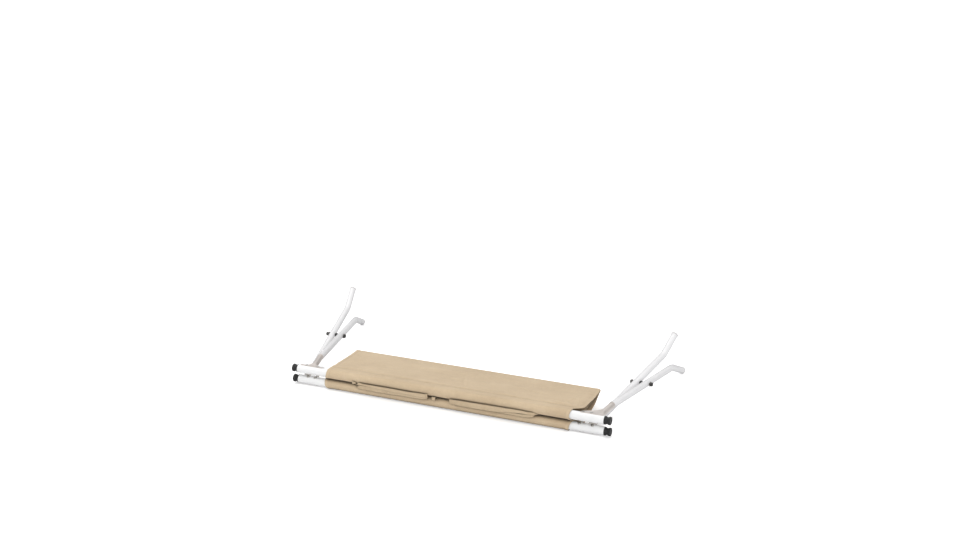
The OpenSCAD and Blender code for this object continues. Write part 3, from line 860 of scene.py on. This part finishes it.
# left handle: two plies come out of the gap at the left, close up towards the right
# and turn back behind themselves there
strap("handle_left_front", "handle_left", [
    (-306, 30, 1.2, 1, 0, 0, 14), (-305, 8, 1.2, 1, 0, 0.05, 14),
    (-303, -4, 1.8, 0.95, 0.2, 0.15, 12), (-298, -13.5, 5.5, 0.6, 0.5, 0.5, 9),
    (-290, -18.6, 9.6, 0.15, 0.3, 1, 7.6), (-272, -19.8, 9.4, 0, 0.1, 1, 6),
    (-250, -20, 8.8, 0, 0.05, 1, 7.6), (-207, -20, 7.6, 0, 0, 1, 10.4),
    (-165, -20, 7.3, 0, 0, 1, 10.9), (-122, -19.8, 6.6, 0, 0, 1, 11.3),
    (-98, -19.4, 6.1, 0, 0, 1, 12.6), (-72, -19.2, 6.3, 0, 0, 1, 14.2),
    (-56, -19.1, 6.5, 0, 0, 1, 14), (-50, -18.4, 7.6, 0, 0.05, 1, 15),
    (-50.5, -17.2, 7.2, 0, 0.05, 1, 14), (-58, -16.9, 6.6, 0, 0.05, 1, 12),
    (-70, -16.8, 6, 0, 0.05, 1, 10),
], count=260, seed=1, replaced="carry_handle_left")
strap("handle_left_rear", "handle_left", [
    (-300, 30, -1.2, 1, 0, 0, 14), (-299, 8, -1.2, 1, 0, 0, 14),
    (-298, -4, -1.6, 0.95, 0.2, 0.1, 12), (-296, -13, -2.4, 0.6, 0.3, 0.6, 11),
    (-290, -17.0, -2.4, 0.15, 0.1, 1, 13.2), (-272, -17.8, -1.8, 0, 0, 1, 15),
    (-250, -17.9, -1.6, 0, 0, 1, 15.8), (-207, -17.9, -1.6, 0, 0, 1, 16),
    (-165, -17.9, -0.8, 0, 0, 1, 15.6), (-122, -17.8, -0.2, 0, 0, 1, 15.4),
    (-98, -18.1, 0.2, 0, 0, 1, 15.2), (-72, -18.3, 0.6, 0, 0, 1, 15),
    (-56, -18.3, 1.8, 0, 0, 1, 14), (-51, -17.6, 2.4, 0, 0, 1, 13),
    (-52, -16.4, 2.6, 0, 0, 1, 11), (-60, -16.2, 3, 0, 0, 1, 9),
], count=220, seed=2)
# thin tabs with their width along the rails; a turns up over the front, b turns down
strap("handle_left_tab_a", "handle_left", [
    (-310, 32, 0.2, 1, 0, 0, 15), (-310, 8, 0.2, 1, 0, 0, 15),
    (-310, -6, 0.8, 1, 0, 0, 15), (-310, -13, 4.2, 1, 0.05, 0.1, 15),
    (-309, -17.4, 9.6, 1, 0.05, 0.12, 14), (-307, -18.8, 13.4, 1, 0, 0.12, 13),
], count=60, seed=5, thick=1.8)
strap("handle_left_tab_b", "handle_left", [
    (-27, 32, 0.2, 1, 0, 0, 12), (-27, 8, 0.2, 1, 0, 0, 12),
    (-27, -6, 0.8, 1, 0, 0, 12), (-27, -14, 5.0, 1, 0, 0.05, 12),
    (-27, -18.2, 4.0, 1, 0.05, 0.1, 12), (-26, -19.0, -3.0, 1, 0, 0.2, 11),
], count=60, seed=6, thick=1.8)
# right handle: the front ply turns back behind itself at the left; the plies part towards
# the right and run into the gap there
strap("handle_right_front", "handle_right", [
    (60, -16.9, 3.4, 0, 0, 1, 12), (42, -16.9, 3.2, 0, 0, 1, 13),
    (32, -17.3, 3.0, 0, 0, 1, 14), (30, -18.4, 3.0, 0, 0, 1, 15),
    (44, -19.4, 2.85, 0, 0, 1, 16.3), (66, -19.7, 2.65, 0, 0, 1, 18.9),
    (106, -19.8, 2.65, 0, 0, 1, 19.5), (160, -19.8, 3.25, 0, 0, 1, 19.7),
    (196, -20, 4.45, 0, 0.03, 1, 17.7), (222, -20.3, 7.05, 0, 0.08, 1, 12.9),
    (246, -20.5, 8.55, 0, 0.12, 1, 11.3), (268, -20.4, 9.15, 0, 0.16, 1, 9.7),
    (288, -19.6, 8.25, 0.1, 0.2, 0.95, 8.3), (303, -17.6, 7.4, 0.35, 0.25, 0.8, 10),
    (312, -12.4, 4.4, 0.8, 0.3, 0.4, 12), (315, -4, 1.6, 0.97, 0.1, 0.1, 13),
    (315, 10, 1.2, 1, 0, 0, 14), (315, 30, 1.2, 1, 0, 0, 14),
], count=280, seed=3, replaced="carry_handle_right")
strap("handle_right_rear", "handle_right", [
    (48, -16.4, 1.0, 0, 0, 1, 10), (90, -16.9, -0.6, 0, 0, 1, 12),
    (140, -17.4, -0.9, 0, 0, 1, 12), (190, -17.9, -1.1, 0, 0, 1, 12),
    (220, -18.0, -1.8, 0, 0, 1, 10.6), (246, -18.1, -2.9, 0, 0, 1, 8.8),
    (268, -18.2, -2.9, 0, 0, 1, 8.8), (286, -18.3, -1.7, -0.1, 0, 1, 9.8),
    (300, -17.2, 0.2, -0.3, 0.1, 0.9, 9), (308, -11.5, 0.8, 0.6, 0.4, 0.5, 10),
    (310, -3, -1.0, 0.97, 0.1, 0.1, 13), (310, 10, -1.2, 1, 0, 0, 14),
    (310, 30, -1.2, 1, 0, 0, 14),
], count=220, seed=4)

# ---------------------------------------------------------------------------
# floor, light and camera, in metres unless noted
# ---------------------------------------------------------------------------

FLOOR_HALF = 14
FLOOR_GLOW = 0.42
WORLD_LIGHT = 0.76


def add_floor():
    """A floor that glows a little for the camera only."""
    corners = [(FLOOR_HALF * x, FLOOR_HALF * y, 0) for x, y in ((-1, -1), (1, -1), (1, 1), (-1, 1))]
    floor = add_mesh("floor", corners, [(0, 1, 2, 3)])
    mat = Surface("studio_floor")
    seen = mat.node("ShaderNodeLightPath").outputs["Is Camera Ray"]
    cloud = mat.noise(mat.coords(), scale=3.0, detail=2)
    color = mat.mix(seen, (0.80, 0.80, 0.805), mat.ramp(cloud, [(0.3, 0.91), (0.7, 0.93)]))
    mat.link(color, mat.shader.inputs["Base Color"])
    mat.set(mat.shader, Roughness=0.9, Specular_IOR_Level=0.0, Emission_Color=(1, 1, 1, 1))
    mat.link(mat.math("MULTIPLY", seen, FLOOR_GLOW), mat.shader.inputs["Emission Strength"])
    floor.data.materials.append(mat.material)


def add_world():
    """White to the camera; a gradient brightening upwards for everything else."""
    studio = bpy.data.worlds.new("studio")
    bpy.context.scene.world = studio
    studio.use_nodes = True
    world_nodes = Nodes(studio.node_tree)
    output = world_nodes.node("ShaderNodeOutputWorld")
    choice = world_nodes.node("ShaderNodeMixShader")
    seen = world_nodes.node("ShaderNodeBackground")
    world_nodes.set(seen, Color=(1, 1, 1, 1), Strength=1.0)
    lit = world_nodes.node("ShaderNodeBackground")
    world_nodes.set(lit, Strength=WORLD_LIGHT)
    camera_ray = world_nodes.node("ShaderNodeLightPath").outputs["Is Camera Ray"]
    split = world_nodes.node("ShaderNodeSeparateXYZ")
    world_nodes.link(world_nodes.coords("Generated"), split.inputs[0])
    sky = world_nodes.ramp(split.outputs[2], [
        (0.0, (0.42, 0.42, 0.43)), (0.28, (0.58, 0.58, 0.59)), (0.85, 1.0)])
    world_nodes.link(sky, lit.inputs[0])
    for i, source in enumerate((camera_ray, lit.outputs[0], seen.outputs[0])):
        world_nodes.link(source, choice.inputs[i])
    world_nodes.link(choice.outputs[0], output.inputs[0])


def add_light(name, kind, direction, energy, color=(1, 1, 1)):
    light = bpy.data.lights.new(name, kind)
    light.energy = energy
    light.color = color
    obj = add_object(name, light)
    obj.rotation_euler = Vector(direction).to_track_quat("-Z", "Y").to_euler()
    return obj


def sun(name, direction, energy, spread, color=(1, 1, 1)):
    """spread: angular size in degrees."""
    add_light(name, "SUN", direction, energy, color).data.angle = math.radians(spread)


def softbox(name, place, target, size, energy, color):
    obj = add_light(name, "AREA", Vector(target) - Vector(place), energy, color)
    obj.location = place
    obj.data.shape = "RECTANGLE"
    obj.data.size, obj.data.size_y = size


# fold frame: place in millimetres, then the right, up and backward directions
CAMERA_PLACE = (1586.300, -3282.003, 1895.341)
CAMERA_AXES = [
    (0.92216496, 0.38573939, -0.02858156),
    (-0.12114516, 0.35820858, 0.92574859),
    (0.36733586, -0.8502304, 0.37705787),
]


def add_camera():
    data = bpy.data.cameras.new("camera")
    data.sensor_width = 36.0
    data.lens = 47.852761
    data.clip_start, data.clip_end = 0.05, 60
    camera = add_object("camera", data)
    matrix = np.eye(4)
    matrix[:3, :3] = (np.array(CAMERA_AXES) @ AXES).T
    matrix[:3, 3] = world(CAMERA_PLACE)
    camera.matrix_world = Matrix(matrix.tolist())
    bpy.context.scene.camera = camera


add_floor()
add_world()
sun("overhead", direction=(0.32, -0.30, -1.0), energy=0.75, spread=38, color=(1.0, 0.998, 0.992))
sun("front", direction=(-0.35, 0.90, -0.22), energy=1.05, spread=50)
softbox("window", place=(-1.5, -0.9, 1.5), target=(0, -0.2, 0), size=(1.6, 0.9), energy=7,
        color=(1.0, 0.995, 0.985))
softbox("strip", place=(1.9, -0.9, 1.2), target=(0.4, 0.0, 0.05), size=(0.5, 1.6), energy=4,
        color=(0.99, 0.995, 1.0))
add_camera()

view = bpy.context.scene.view_settings
view.view_transform = "Standard"
view.look = "None"

bpy.context.view_layer.update()
